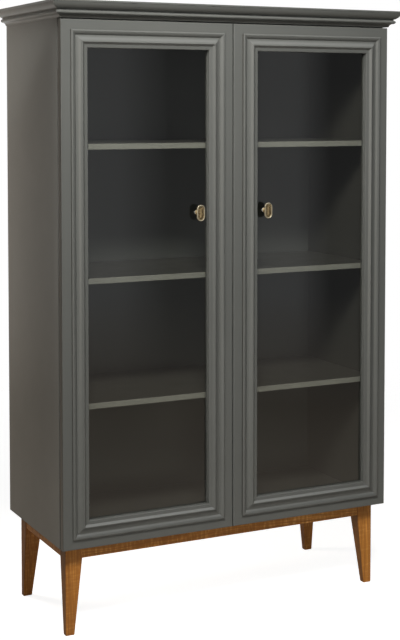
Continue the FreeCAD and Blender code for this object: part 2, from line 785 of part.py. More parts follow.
def knob(door, x, z):
    """A cast knob, an oval plate with a raised rim and middle on a stem, screwed through the glass."""
    stem_y = glass_front - d.knob_washer
    plate_y = stem_y - d.knob_stem_length
    facing = Rotation(RIGHT, -REAR, -UP, "XYZ")
    bore = d.knob_screw / 2 + d.fit
    bore_end = d.knob_screw_bite + d.fit
    stem = doc.addObject("PartDesign::Body", f"{door}_knob_stem")
    outline = in_shares(STEM_SHARES, d.knob_flange / 2, d.knob_stem_length) + [
        (ZERO, d.knob_stem_length),
        (ZERO, bore_end),
        (bore, bore_end),
        (bore, ZERO),
    ]
    sketch = sketch_on(stem, "XY_Plane", f"{door}_knob_stem_outline", outline)
    turning = stem.newObject("PartDesign::Revolution", f"{door}_knob_stem_turning")
    turning.Profile = sketch
    turning.ReferenceAxis = (sketch, ["V_Axis"])
    place(stem, x, stem_y, z, facing)

    plate = doc.addObject("PartDesign::Body", f"{door}_knob_plate")
    face = oval(d.knob_plate_width, d.knob_plate_height)
    blank = sketch_on(plate, "XY_Plane", f"{door}_knob_plate_outline", face)
    pad(plate, f"{door}_knob_plate_blank", blank, d.knob_plate_thickness)
    doc.recompute()
    whole = plate.Shape.Volume
    rim = d.knob_rim * 2
    recess = sketch_on(
        plate, "XY_Plane", f"{door}_knob_rim_outline", oval(d.knob_plate_width - rim, d.knob_plate_height - rim)
    )
    draw(recess, oval(d.knob_plate_width - rim * 2, d.knob_plate_height - rim * 2))
    recess.setExpression("AttachmentOffset.Base.z", d.knob_plate_thickness.text)
    sinking = plate.newObject("PartDesign::Pocket", f"{door}_knob_plate_recess")
    sinking.Profile = recess
    bind(sinking, Length=d.knob_recess)
    doc.recompute()
    if plate.Shape.Volume >= whole:
        raise ValueError(f"{door}: the recess of the knob plate cuts nothing")
    place(plate, x, plate_y, z, TO_FRONT)
    node(joined(f"{door}_knob", [stem, plate]))

    washers = []
    for name, y in (("front", stem_y), ("rear", glass_back)):
        disc = rod(f"{door}_{name}_disc", d.knob_washer_diameter / 2, d.knob_washer, (x, y, z), TO_REAR)
        start = (x, y - d.overrun, z)
        hole = rod(f"{door}_{name}_eye", bore, d.knob_washer + d.overrun * 2, start, TO_REAR)
        washers.append(cut(f"{door}_{name}_washer", disc, [hole]))
    node(group(f"{door}_knob_washers", washers))
    head_y = glass_back + d.knob_washer + d.knob_screw_head_height
    head = rod(f"{door}_knob_head", d.knob_screw_head / 2, d.knob_screw_head_height, (x, head_y, z), TO_FRONT)
    shank_length = head_y - stem_y + d.knob_screw_bite
    shank = rod(f"{door}_knob_shank", d.knob_screw / 2, shank_length, (x, head_y, z), TO_FRONT)
    node(joined(f"{door}_knob_screw", [head, shank]))


def door(hand, side):
    name = f"{hand}_door"
    edge_x = mirrored(side, d.meeting_gap / 2, half)
    knob_x = (d.meeting_gap / 2 + d.knob_inset) * side
    knob_z = d.base_height + d.knob_level
    door_frame(name, side, edge_x)
    door_moulding(name, side, edge_x)
    door_glass(name, edge_x, knob_x, knob_z)
    knob(name, knob_x, knob_z)
    leaves = [hinge_leaf(f"{name}_leaf_{i}", side, level, True) for i, level in enumerate(hinge_levels())]
    node(group(f"{name}_hinge_leaves", leaves))
    node(group(f"{name}_hinge_screws", hinge_screws(f"{name}_hinge_screw", side, True)))
    strike_x = d.catch_inset * side - d.catch_width / 2
    strike_size = (d.catch_width, d.strike_thickness, d.catch_height)
    node(block(f"{name}_strike", strike_size, (strike_x, door_back, top_underside - d.catch_height)))


carcass()
shelves()
base()
cornice()
case_hinges()
catches()
door("left", -1)
door("right", 1)
doc.recompute()

for piece in doc.Objects:
    if "Invalid" in piece.State or "Error" in piece.State:
        raise ValueError(f"{piece.Label} failed: {piece.State}")
for piece in nodes:
    if piece.Shape.isNull() or not piece.Shape.isValid():
        raise ValueError(f"{piece.Label} has no valid shape")

os.makedirs("parts", exist_ok=True)
for piece in nodes:
    piece.Shape.exportStep(os.path.join("parts", f"{piece.Label}.step"))
print(f"{len(nodes)} nodes written")
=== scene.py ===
"""Looks of a two-door glazed bookcase: satin paint, a wood base, clear glass and antique brass."""

import math

import bmesh
import bpy
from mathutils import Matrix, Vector


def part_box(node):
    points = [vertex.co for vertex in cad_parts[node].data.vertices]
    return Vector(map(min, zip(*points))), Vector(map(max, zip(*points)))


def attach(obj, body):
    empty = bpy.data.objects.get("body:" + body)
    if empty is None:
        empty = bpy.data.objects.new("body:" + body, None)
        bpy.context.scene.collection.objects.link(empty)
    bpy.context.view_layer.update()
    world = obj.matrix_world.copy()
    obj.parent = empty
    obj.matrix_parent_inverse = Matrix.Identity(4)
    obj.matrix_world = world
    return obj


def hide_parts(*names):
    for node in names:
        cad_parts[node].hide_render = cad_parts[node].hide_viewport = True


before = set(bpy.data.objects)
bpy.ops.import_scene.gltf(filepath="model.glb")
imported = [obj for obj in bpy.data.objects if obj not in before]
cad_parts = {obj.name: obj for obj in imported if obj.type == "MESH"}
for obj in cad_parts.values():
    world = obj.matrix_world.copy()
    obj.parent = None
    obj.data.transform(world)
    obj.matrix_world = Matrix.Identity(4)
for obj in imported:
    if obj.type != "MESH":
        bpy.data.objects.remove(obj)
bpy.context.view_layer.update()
scene = bpy.context.scene

# Camera, in metres, degrees and millimetres: at the front left, a little below the top and tilted slightly down
CAMERA_PLACE = (-1.993, -4.005, 1.579)
CAMERA_TURN, CAMERA_TILT = 26.42, 3.08
CAMERA_LENS, CAMERA_SENSOR, CAMERA_SHIFT = 78.0, 36.0, -0.215

# Directions that a face can look in, and spans of how squarely it looks there, from where its painted shade or
# light
# starts to where it is full: for a whole face, and for the outer step of a door moulding
LEFT, RIGHT, FRONT = (-1.0, 0.0, 0.0), (1.0, 0.0, 0.0), (0.0, -1.0, 0.0)
UP, DOWN = (0.0, 0.0, 1.0), (0.0, 0.0, -1.0)
FACE_SPAN, STEP_SPAN = (0.5, 0.9), (0.8, 0.95)

# Parts of a noise's range that are spread to a full mix
WIDE, MEDIUM, NARROW = (0.2, 0.8), (0.3, 0.7), (0.35, 0.65)

# Paint: its colours, shares of tones, each noise's scale, and how far and how strongly the surface is raised
PAINT_DARK, PAINT_LIGHT, PAINT_BLOOM = (0.094, 0.097, 0.09), (0.106, 0.109, 0.101), (0.11, 0.112, 0.103)
# Painted shade, darker on faces that look inwards, up or into gaps, and painted light on a shelf's lit front edge
PAINTED_SHADE_TONE, PAINTED_LIT_EDGE = (0.046, 0.043, 0.036), (0.25, 0.25, 0.218)
# Share of the mottling's light tone, and of the painted shade's dark tone against the paint
BLOOM_SHARE, PAINTED_SHADE_SHARE = 0.3, 0.85
CLOUD_SCALE, BLOOM_SCALE, SHEEN_SCALE, PEEL_SCALE, WAVE_SCALE = 2.6, 15.0, 11.0, 240.0, 30.0
PEEL_BUMP, WAVE_BUMP = (0.0001, 0.05), (0.0004, 0.03)
PAINT_ROUGH, PAINT_SHINE = (0.28, 0.35), 0.5

# Wood: its colours, the pores' dark one also used for painted shade on side faces, how often each texture comes in
# a metre along the grain and across it, and shares of tones
WOOD_BODY, WOOD_LIGHT, WOOD_GOLD = (0.42, 0.153, 0.022), (0.62, 0.258, 0.043), (0.84, 0.42, 0.11)
WOOD_DARK, WOOD_PORE_AND_SHADE = (0.26, 0.086, 0.011), (0.1, 0.034, 0.006)
GROWTH_GRAIN, TONE_GRAIN, FIBRE_GRAIN = (1.3, 24.0), (2.0, 22.0), (7.0, 330.0)
RIPPLE_GRAIN, PORE_GRAIN = (120.0, 22.0), (30.0, 1100.0)
TONE_SHIFT, GROWTH_TURNS = (3.1, 1.7, 5.3), 70.0
GROWTH_SPAN, RIPPLE_SPAN, PORE_SPAN, OPEN_PORE_SPAN = (-0.9, 1.0), (0.48, 0.68), (0.3, 0.75), (0.56, 0.7)
FIBRE_SHARE, GROWTH_SHARE, PORE_SHARE = 0.6, 0.5, 0.5
GROWTH_BUMP, PORE_BUMP = (0.0001, 0.1), (-0.0002, 0.15)
WOOD_ROUGH, WOOD_SHINE = (0.36, 0.56), 0.3

# Glass: its front faces mirror for both sides of a pane
GLASS_IOR, PANE_SIDES, PANE_TINT = 1.5, 2.0, (0.88, 0.885, 0.87)
HAZE_SCALE, HAZE_SPAN, HAZE_ROUGH = 7.0, (0.35, 0.7), (0.008, 0.03)

# Brass: its colours, and how far a place is raised where it is rubbed bare and where it is worn bright
BRASS_BROWN, BRASS_GOLD, BRASS_WORN = (0.03, 0.021, 0.01), (0.27, 0.2, 0.1), (0.36, 0.335, 0.255)
RUBBED_SPAN, WORN_SPAN = (0.44, 0.6), (0.7, 0.92)
RUBBED_STAIN, WORN_STAIN = (-0.2, 0.2), (-0.2, 0.1)
STAIN_SCALE, CAST_SCALE, CAST_BUMP = 260.0, 1500.0, (0.00006, 0.4)
BRASS_METAL, BRASS_ROUGH = 0.75, (0.55, 0.4)

# Drawn metal and moulded plastic: textures, relief, and how far the roughness varies either way
STREAK_SCALE, STREAK_BUMP, STREAK_ROUGH = (900.0, 900.0, 40.0), (0.00004, 0.5), 0.06
MOULD_SCALE, MOULD_CLOUD, MOULD_BUMP, MOULD_ROUGH = 1400.0, 60.0, (0.00005, 1.0), 0.05

# Knobs, in metres and degrees: the plate and stem, with shares of the plate's half width and thickness and of the
# stem's length
PLATE_THICK = 0.004
FLANGE, NECK, HEAD = 0.008, 0.0038, 0.0064
FLANGE_SHARE, NECK_FROM, NECK_TO, HEAD_SINK = 0.1, 0.36, 0.7, 0.25
RIM_HALF, FIELD_LEVEL = 0.14, 0.42
RIM_FROM, RIM_ROUND, SHARP_ANGLE = -90.0, 270.0, 50.0
PEARL_RING, PEARL_HALF, PEARL_RISE, PEARL_BLUNT = 0.625, 0.075, 0.4, 0.6
FIELD_HALF, DOME_RISE, FLUTE_RISE, BOSS_RISE, BOSS_SHARE = 0.53, 0.12, 0.12, 0.1, 0.24
KNOB_STEPS, PEARLS, FLUTES = 288, 36, 24
RIM_STEPS, PEARL_ROWS, FIELD_ROWS, STEM_STEPS, STEM_ROWS = 16, 8, 14, 48, 24
STEM_RAISED = 0.62
MERGE = 1e-6

# Floor and surround: from some distance outwards the floor is clear, and the white surround shows
WHITE = (1.0, 1.0, 1.0)
FLOOR_SIZE, FLOOR_CLEAR, FLOOR_LIFT = 40.0, (2.0, 4.2), 0.88
FLOOR_COLOUR, FLOOR_SHADE = (0.6, 0.6, 0.595), (0.56, 0.56, 0.555)
FLOOR_SCALE, FLOOR_SHARE = 1.3, 0.5
AMBIENT, AMBIENT_TINT = 0.1, (1.0, 0.995, 0.985)

# Room that reflections show: a round wall with an opening at the rear, a rug inside it and a top. The wall's glow
# goes from front to rear and its tint from left to right, and its foot takes the rug's tint.
WALL_RADIUS, WALL_HEIGHT, WALL_STEPS, WALL_OPENING = 3.2, 3.6, 48, 20.0
WALL_GLOW, FOOT_GLOW, FOOT_HEIGHT = (0.13, 0.11), 0.1, 0.6
WALL_LEFT_TINT, WALL_RIGHT_TINT, TINT_SPAN = (1.0, 0.93, 0.84), (0.97, 0.985, 1.0), (-1.5, 0.5)
RUG_GLOW, RUG_FULL, RUG_LEVEL, RUG_TINT = 0.36, 1.5, 0.001, (1.0, 0.87, 0.72)
TOP_FROM, TOP_TO, TOP_LEVEL, TOP_GLOW = (-0.6, -2.2), (2.4, 0.6), 3.58, 3.0
# Bands on the wall: where each rises and falls along X, whether at the rear (1) or the front (-1), and its glow
BANDS = (
    ((0.2, 0.5), (0.85, 1.1), -1.0, 0.25),
    ((1.4, 1.55), (1.7, 1.85), -1.0, 0.25),
    ((-2.45, -2.25), (-1.75, -1.55), -1.0, 2.6),
    ((-1.5, -1.2), (-0.6, -0.3), 1.0, 0.5),
)

# Lamps, in metres, watts and degrees: a key and a left lamp on the front, one on the left side and a low one on
# the base. A black card beside the front left corner keeps the front lamps off the side.
KEY_PLACE, KEY_AIM, KEY_SIZE = (-1.2, -2.55, 3.65), (-0.06, -0.2, 1.65), (0.9, 0.7)
KEY_POWER, KEY_SPREAD = 31.5, 75.0
LEFT_PLACE, LEFT_AIM, LEFT_SIZE, LEFT_POWER = (-4.2, -3.3, 3.4), (0.1, -0.2, 1.2), (0.8, 0.8), 45.0
SIDE_PLACE, SIDE_AIM, SIDE_SIZE, SIDE_POWER = (-0.92, 0.88, 1.35), (-0.565, 0.25, 1.35), (0.35, 1.6), 16.0
LOW_PLACE, LOW_AIM, LOW_SIZE = (-1.1, -3.3, 0.5), (-0.1, -0.2, 0.12), (0.9, 0.3)
LOW_POWER, LOW_SPREAD = 0.55, 32.0
FRONT_TINT, SIDE_TINT, LOW_TINT = (1.0, 0.99, 0.97), (1.0, 0.86, 0.75), (1.0, 0.97, 0.92)
CARD_FROM, CARD_TO = (-1.4, -0.262, 0.0), (-0.606, -0.262, 1.885)
CARD_SCALE, CARD_TONES = 20.0, (0.01, 0.02)


class Nodes:
    """The node tree of a material or of the world, built node by node."""

    def __init__(self, owner, output):
        owner.use_nodes = True
        self.tree = owner.node_tree
        self.tree.nodes.clear()
        self.output = self.add(output)

    def add(self, kind, settings=None, **inputs):
        """A node; inputs are given by name, with _ for a space, or by number as in_0."""
        made = self.tree.nodes.new("ShaderNode" + kind)
        for key, value in (settings or {}).items():
            setattr(made, key, value)
        for key, value in inputs.items():
            name = int(key[3:]) if key.startswith("in_") else key.replace("_", " ")
            self.feed(made.inputs[name], value)
        return made

    def feed(self, socket, value):
        """Links an input to another node's output, or sets its number or colour."""
        if isinstance(value, bpy.types.NodeSocket):
            self.tree.links.new(value, socket)
        else:
            socket.default_value = (*value, 1.0) if socket.type == "RGBA" else value

    def show(self, shader):
        self.tree.links.new(shader.outputs[0], self.output.inputs["Surface"])

    def math(self, operation, *values, clamp=False):
        inputs = {f"in_{i}": value for i, value in enumerate(values)}
        return self.add("Math", {"operation": operation, "use_clamp": clamp}, **inputs).outputs[0]

    def place(self):
        """The point on the piece, in metres."""
        return self.add("TexCoord").outputs["Object"]

    def facing(self):
        """The direction that the piece's surface faces."""
        return self.add("TexCoord").outputs["Normal"]

    def axes(self, vector):
        """A vector's three parts."""
        return self.add("SeparateXYZ", Vector=vector).outputs

    def away(self):
        """How far the point is from the middle of the floor, along the floor."""
        x, y, _ = self.axes(self.place())
        return self.math("SQRT", self.math("ADD", self.math("MULTIPLY", x, x), self.math("MULTIPLY", y, y)))

    def seen(self):
        """1 for what the camera sees, also in a mirror or through glass, and 0 for light on other surfaces."""
        ray = self.add("LightPath").outputs
        indirect = self.math("MAXIMUM", ray["Is Glossy Ray"], ray["Is Transmission Ray"])
        return self.math("MAXIMUM", ray["Is Camera Ray"], indirect)

    def spread(self, value, span, to=(0.0, 1.0)):
        """A value spread from one span to another, and held at its ends."""
        inputs = {"From_Min": span[0], "From_Max": span[1], "To_Min": to[0], "To_Max": to[1]}
        return self.add("MapRange", {"clamp": True}, Value=value, **inputs).outputs["Result"]

    def towards(self, way, span):
        """1 where the surface looks that way squarely, down to 0 where it looks elsewhere."""
        squarely = self.add("VectorMath", {"operation": "DOT_PRODUCT"}, in_0=self.facing(), in_1=way)
        return self.spread(squarely.outputs["Value"], span)

    def stretched(self, scale, shift=(0.0, 0.0, 0.0)):
        """The point on the piece, scaled along each axis and shifted."""
        return self.add("Mapping", Vector=self.place(), Scale=scale, Location=shift).outputs["Vector"]

    def noise(self, vector, scale=1.0, detail=3.0, roughness=0.5, distortion=0.0):
        inputs = {"Scale": scale, "Detail": detail, "Roughness": roughness, "Distortion": distortion}
        return self.add("TexNoise", Vector=vector, **inputs).outputs["Fac"]

    def mix(self, factor, first, second):
        """A colour between two others."""
        return self.add("Mix", {"data_type": "RGBA"}, in_0=factor, in_6=first, in_7=second).outputs[2]

    def bump(self, height, rise, **normal):
        """A surface that is raised so far and so strongly, on top of another one where that is given."""
        distance, strength = rise
        return self.add("Bump", Height=height, Distance=distance, Strength=strength, **normal).outputs["Normal"]


class Finish(Nodes):
    """A procedural material."""

    def __init__(self, name):
        self.material = bpy.data.materials.new(name)
        super().__init__(self.material, "OutputMaterial")

    def surface(self, **inputs):
        """The piece's shader, from its named inputs."""
        self.show(self.add("BsdfPrincipled", **inputs))
        return self.material


def paint_finish(name, shaded=(), span=FACE_SPAN, lit_front_edge=False):
    """Sprayed satin lacquer with soft mottling and uneven sheen.

    Faces that look in a shaded direction, as squarely as span says, get painted shade, a darker tone. A lit front
    edge makes the front face lighter with painted light, as on a shelf's edge.
    """
    f = Finish(name)
    cloud = f.noise(f.place(), CLOUD_SCALE, detail=4.0)
    bloom = f.noise(f.place(), BLOOM_SCALE, detail=2.0)
    base = f.mix(f.spread(cloud, WIDE), PAINT_DARK, PAINT_LIGHT)
    colour = f.mix(f.spread(bloom, WIDE, (0.0, BLOOM_SHARE)), base, PAINT_BLOOM)
    # Painted shade on faces that look in the shaded directions, and painted light on a lit front edge
    for way in shaded:
        colour = f.mix(f.towards(way, span), colour, f.mix(PAINTED_SHADE_SHARE, base, PAINTED_SHADE_TONE))
    if lit_front_edge:
        colour = f.mix(f.towards(FRONT, FACE_SPAN), colour, PAINTED_LIT_EDGE)
    sheen = f.noise(f.place(), SHEEN_SCALE)
    peel = f.noise(f.place(), PEEL_SCALE, detail=1.0)
    wave = f.noise(f.place(), WAVE_SCALE, detail=1.0)
    relief = f.bump(peel, PEEL_BUMP, Normal=f.bump(wave, WAVE_BUMP))
    rough = f.spread(sheen, WIDE, PAINT_ROUGH)
    return f.surface(Base_Color=colour, Roughness=rough, Normal=relief, Specular_IOR_Level=PAINT_SHINE)


def wood_finish(name, axis, gilt, side_shade=0.0):
    """Oiled wood with its grain along one axis: growth lines, fibres, a cross ripple and open pores.

    gilt is the share of gold in the ripple, and side_shade that of painted shade, a dark tone on the left and right
    faces.
    """
    f = Finish(name)

    def grained(grain, shift=(0.0, 0.0, 0.0), **settings):
        """A noise that comes so many times a metre along the grain and across it."""
        along, across = grain
        scale = tuple(along if i == axis else across for i in range(3))
        return f.noise(f.stretched(scale, shift), **settings)

    field = grained(GROWTH_GRAIN, detail=2.5, roughness=0.45, distortion=0.35)
    lines = f.math("SINE", f.math("MULTIPLY", field, GROWTH_TURNS))
    growth = f.spread(lines, GROWTH_SPAN)
    tone = grained(TONE_GRAIN, TONE_SHIFT, detail=2.0)
    fibre = grained(FIBRE_GRAIN, roughness=0.6)
    ripple = grained(RIPPLE_GRAIN, detail=2.0)
    pores = grained(PORE_GRAIN, detail=2.0, roughness=0.6)
    pore = f.spread(pores, OPEN_PORE_SPAN)
    body = f.mix(f.spread(tone, MEDIUM), WOOD_BODY, WOOD_LIGHT)
    gilded = f.mix(f.spread(ripple, RIPPLE_SPAN, (0.0, gilt)), body, WOOD_GOLD)
    streaked = f.mix(f.spread(fibre, NARROW, (FIBRE_SHARE, 0.0)), gilded, WOOD_DARK)
    figured = f.mix(f.math("MULTIPLY", growth, GROWTH_SHARE), streaked, WOOD_DARK)
    colour = f.mix(f.math("MULTIPLY", pore, PORE_SHARE), figured, WOOD_PORE_AND_SHADE)
    # Painted shade: the left and right faces darker
    if side_shade:
        sideways, _, _ = f.axes(f.facing())
        shade = f.spread(f.math("ABSOLUTE", sideways), FACE_SPAN, (0.0, side_shade))
        colour = f.mix(shade, colour, WOOD_PORE_AND_SHADE)
    rough = f.spread(pores, PORE_SPAN, WOOD_ROUGH)
    relief = f.bump(pore, PORE_BUMP, Normal=f.bump(lines, GROWTH_BUMP))
    return f.surface(Base_Color=colour, Roughness=rough, Normal=relief, Specular_IOR_Level=WOOD_SHINE)


def glass_finish():
    """A clear pane: it mirrors on its front faces for both of its sides, and lets the rest straight through."""
    f = Finish("clear_glass")
    mirror = f.math("MULTIPLY", f.add("Fresnel", IOR=GLASS_IOR).outputs[0], PANE_SIDES, clamp=True)
    outward = f.math("SUBTRACT", 1.0, f.add("NewGeometry").outputs["Backfacing"])
    haze = f.noise(f.place(), HAZE_SCALE, detail=4.0)
    clear = f.add("BsdfTransparent", Color=PANE_TINT).outputs[0]
    gloss = f.add("BsdfGlossy", Color=WHITE, Roughness=f.spread(haze, HAZE_SPAN, HAZE_ROUGH)).outputs[0]
    f.show(f.add("MixShader", in_0=f.math("MULTIPLY", mirror, outward), in_1=clear, in_2=gloss))
    return f.material


def brass_finish():
    """Aged cast brass: rubbed bright where it is raised, browned in the hollows."""
    f = Finish("antique_brass")
    raised = f.add("Attribute", {"attribute_name": "raised"}).outputs["Fac"]
    stain = f.noise(f.place(), STAIN_SCALE, detail=4.0)
    rubbed = f.math("ADD", f.spread(raised, RUBBED_SPAN), f.spread(stain, MEDIUM, RUBBED_STAIN), clamp=True)
    gilt = f.mix(rubbed, BRASS_BROWN, BRASS_GOLD)
    worn = f.math("ADD", f.spread(raised, WORN_SPAN), f.spread(stain, MEDIUM, WORN_STAIN), clamp=True)
    colour = f.mix(worn, gilt, BRASS_WORN)
    rough = f.spread(worn, (0.0, 1.0), BRASS_ROUGH)
    relief = f.bump(f.noise(f.place(), CAST_SCALE, detail=2.0), CAST_BUMP)
    return f.surface(Base_Color=colour, Metallic=BRASS_METAL, Roughness=rough, Normal=relief)


def metal_finish(name, dark, light, rough):
    """Drawn metal with streaks along its height."""
    f = Finish(name)
    streak = f.noise(f.stretched(STREAK_SCALE))
    colour = f.mix(f.spread(streak, MEDIUM), dark, light)
    uneven = f.spread(streak, MEDIUM, (rough - STREAK_ROUGH, rough + STREAK_ROUGH))
    return f.surface(Base_Color=colour, Metallic=1.0, Roughness=uneven, Normal=f.bump(streak, STREAK_BUMP))


def plastic_finish(name, dark, light, rough):
    """Moulded plastic with a fine spark-eroded grain."""
    f = Finish(name)
    grain = f.noise(f.place(), MOULD_SCALE, detail=2.0)
    cloud = f.noise(f.place(), MOULD_CLOUD, detail=2.0)
    colour = f.mix(f.spread(cloud, NARROW), dark, light)
    uneven = f.spread(grain, MEDIUM, (rough - MOULD_ROUGH, rough + MOULD_ROUGH))
    return f.surface(Base_Color=colour, Roughness=uneven, Normal=f.bump(grain, MOULD_BUMP))


PAINT = paint_finish("olive_grey_paint")
# Outer steps of the door mouldings, with painted shade on them
LEFT_STEP_SHADE_PAINT = paint_finish("left_step_paint", [LEFT], STEP_SPAN)
RIGHT_STEP_SHADE_PAINT = paint_finish("right_step_paint", [RIGHT], STEP_SPAN)
DEEP_WOOD = wood_finish("deep_wood", axis=1, gilt=0.6)
CROSS_WOOD = wood_finish("cross_wood", axis=0, gilt=0.9)
BRASS = brass_finish()
BRONZED = metal_finish("bronzed_steel", (0.085, 0.066, 0.045), (0.17, 0.135, 0.095), 0.42)
ZINC = metal_finish("zinc_steel", (0.42, 0.42, 0.41), (0.56, 0.56, 0.55), 0.34)

# Finishes of single nodes, then of all nodes whose names end alike; the other nodes are painted all over
NODE_FINISHES = {
    # Painted shade: the carcass's inner faces and front edges, and the doors' outer edges
    "left_side_panel": paint_finish("left_side_paint", [RIGHT, FRONT]),
    "right_side_panel": paint_finish("right_side_paint", [LEFT, FRONT]),
    "bottom_panel": paint_finish("bottom_paint", [UP, FRONT]),
    "left_door_hinge_stile": paint_finish("left_edge_paint", [LEFT]),
    "right_door_hinge_stile": paint_finish("right_edge_paint", [RIGHT]),
    "left_door_hinge_moulding": LEFT_STEP_SHADE_PAINT,
    "left_door_meeting_moulding": RIGHT_STEP_SHADE_PAINT,
    "right_door_hinge_moulding": RIGHT_STEP_SHADE_PAINT,
    "right_door_meeting_moulding": LEFT_STEP_SHADE_PAINT,
    "left_apron": DEEP_WOOD,
    "right_apron": DEEP_WOOD,
    "corner_blocks": CROSS_WOOD,
    "corner_block_screws": ZINC,
    "shelf_pins": ZINC,
    "hinge_pins": BRONZED,
    "magnetic_catches": plastic_finish("brown_plastic", (0.055, 0.042, 0.033), (0.075, 0.058, 0.046), 0.45),
}
ENDING_FINISHES = {
    # Painted shade on shelf tops and on moulding steps, with painted light on shelf front edges
    "_shelf": paint_finish("shelf_paint", [UP], lit_front_edge=True),
    "_top_moulding": paint_finish("upper_step_paint", [UP], STEP_SPAN),
    "_bottom_moulding": paint_finish("lower_step_paint", [DOWN], STEP_SPAN),
    # Legs with painted shade on their left and right faces
    "_leg": wood_finish("upright_wood", axis=2, gilt=0.4, side_shade=0.7),
    "_apron": CROSS_WOOD,
    "_glass": glass_finish(),
    "_knob": BRASS,
    "_knob_washers": plastic_finish("clear_nylon", (0.66, 0.66, 0.63), (0.74, 0.74, 0.71), 0.4),
    "_strike": ZINC,
    "_leaves": BRONZED,
    "_screw": BRONZED,
    "_screws": BRONZED,
}


def finish_of(node):
    """The finish of a node, by what the piece is."""
    if node in NODE_FINISHES:
        return NODE_FINISHES[node]
    return next((finish for ending, finish in ENDING_FINISHES.items() if node.endswith(ending)), PAINT)


for node_name, node_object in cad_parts.items():
    node_object.data.materials.clear()
    node_object.data.materials.append(finish_of(node_name))


def mesh_object(name, mesh, finish):
    made = bpy.data.objects.new(name, mesh)
    made.data.materials.append(finish)
    scene.collection.objects.link(made)
    return made


def mesh_of(name, bm):
    """A mesh of what was built in bm, which is freed."""
    mesh = bpy.data.meshes.new(name)
    bm.to_mesh(mesh)
    bm.free()
    return mesh


def rectangle(name, corners):
    mesh = bpy.data.meshes.new(name)
    mesh.from_pydata(corners, [], [(0, 1, 2, 3)])
    return mesh


class Knob:
    """A cast knob on a turned stem: an oval plate with a round rim, a ring of pearls and a fluted dome."""

    def __init__(self, node):
        self.low, self.high = (Vector(corner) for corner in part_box(node))
        self.middle = (self.low + self.high) / 2
        self.radius = (self.high.x - self.low.x) / 2
        self.straight = (self.high.z - self.low.z) / 2 - self.radius
        self.plate_back = self.low.y + PLATE_THICK
        self.bm = bmesh.new()
        self.raised = self.bm.verts.layers.float.new("raised")

    def vertex(self, x, y, z, raised):
        made = self.bm.verts.new((self.middle.x + x, y, self.middle.z + z))
        made[self.raised] = raised
        return made

    def oval(self, across, rise):
        """A ring of the plate: across is its share of the half width, rise its height for each share of the way."""
        ends = math.pi * self.radius * PEARL_RING
        end_share = ends / (ends + 2 * self.straight)
        ring = []
        for i in range(KNOB_STEPS):
            way = i / KNOB_STEPS
            side = 1 if way < 0.5 else -1
            part = way * 2 % 1.0
            turn = math.pi * min(part / end_share, 1.0)
            slide = max(part - end_share, 0.0) / (1 - end_share)
            x = side * math.cos(turn) * self.radius * across
            z = side * (math.sin(turn) * self.radius * across + self.straight * (1 - 2 * slide))
            height = rise(way)
            ring.append(self.vertex(x, self.plate_back - PLATE_THICK * height, z, height))
        return ring

    def circle(self, radius, y):
        ring = []
        for i in range(STEM_STEPS):
            turn = 2 * math.pi * i / STEM_STEPS
            ring.append(self.vertex(radius * math.cos(turn), y, radius * math.sin(turn), STEM_RAISED))
        return ring

    def skin(self, rings):
        for ring, after in zip(rings, rings[1:]):
            for i in range(len(ring)):
                self.bm.faces.new((ring[i - 1], ring[i], after[i], after[i - 1]))

    def plate(self):
        rings = []
        for i in range(RIM_STEPS + 1):
            turn = math.radians(RIM_FROM + RIM_ROUND * i / RIM_STEPS)
            level = 0.5 + 0.5 * math.sin(turn)
            rings.append(self.oval(1 - RIM_HALF + RIM_HALF * math.cos(turn), lambda way, level=level: level))
        self.bm.faces.new(rings[0])
        for i in range(PEARL_ROWS + 1):
            share = 2 * i / PEARL_ROWS - 1
            crown = PEARL_RISE * math.sqrt(1 - share * share)
            across = PEARL_RING - PEARL_HALF * share
            rings.append(self.oval(across, lambda way, crown=crown: pearl_height(way, crown)))
        for i in range(FIELD_ROWS + 1):
            share = 1 - i / FIELD_ROWS
            rings.append(self.oval(FIELD_HALF * share, lambda way, share=share: field_height(way, share)))
        self.skin(rings)

    def stem(self):
        length = self.high.y - self.plate_back
        rings = []
        for i in range(STEM_ROWS + 1):
            share = i / STEM_ROWS
            foot = max(0.0, 1 - max(0.0, share - FLANGE_SHARE) / (NECK_FROM - FLANGE_SHARE))
            head = max(0.0, (share - NECK_TO) / (1 - NECK_TO))
            radius = NECK + (FLANGE - NECK) * foot**2 + (HEAD - NECK) * head**2
            rings.append(self.circle(radius, self.high.y - length * share))
        rings.append(self.circle(HEAD, self.plate_back - PLATE_THICK * HEAD_SINK))
        self.skin(rings)
        self.bm.faces.new(rings[0])
        self.bm.faces.new(rings[-1])

    def finish(self, name):
        bmesh.ops.remove_doubles(self.bm, verts=self.bm.verts, dist=MERGE)
        bmesh.ops.dissolve_degenerate(self.bm, edges=self.bm.edges, dist=MERGE)
        bmesh.ops.recalc_face_normals(self.bm, faces=self.bm.faces)
        for face in self.bm.faces:
            face.smooth = True
        mesh = mesh_of(name, self.bm)
        mesh.set_sharp_from_angle(angle=math.radians(SHARP_ANGLE))
        return mesh_object(name, mesh, BRASS)


def pearl_height(way, crown):
    return FIELD_LEVEL + crown * abs(math.sin(math.pi * PEARLS * way)) ** PEARL_BLUNT


def field_height(way, share):
    """The fluted dome inside the pearls, with a small boss on its middle line."""
    dome = DOME_RISE * (1 - share * share)
    flute = FLUTE_RISE * math.cos(2 * math.pi * FLUTES * way) * math.sin(math.pi * share)
    boss = BOSS_RISE * math.sqrt(max(0.0, 1 - (share / BOSS_SHARE) ** 2))
    return FIELD_LEVEL + dome + flute + boss


def make_knobs():
    for door in ("left_door", "right_door"):
        knob = Knob(f"{door}_knob")
        knob.plate()
        knob.stem()
        made = knob.finish(f"{door}_cast_knob")
        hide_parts(f"{door}_knob")
        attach(made, door)


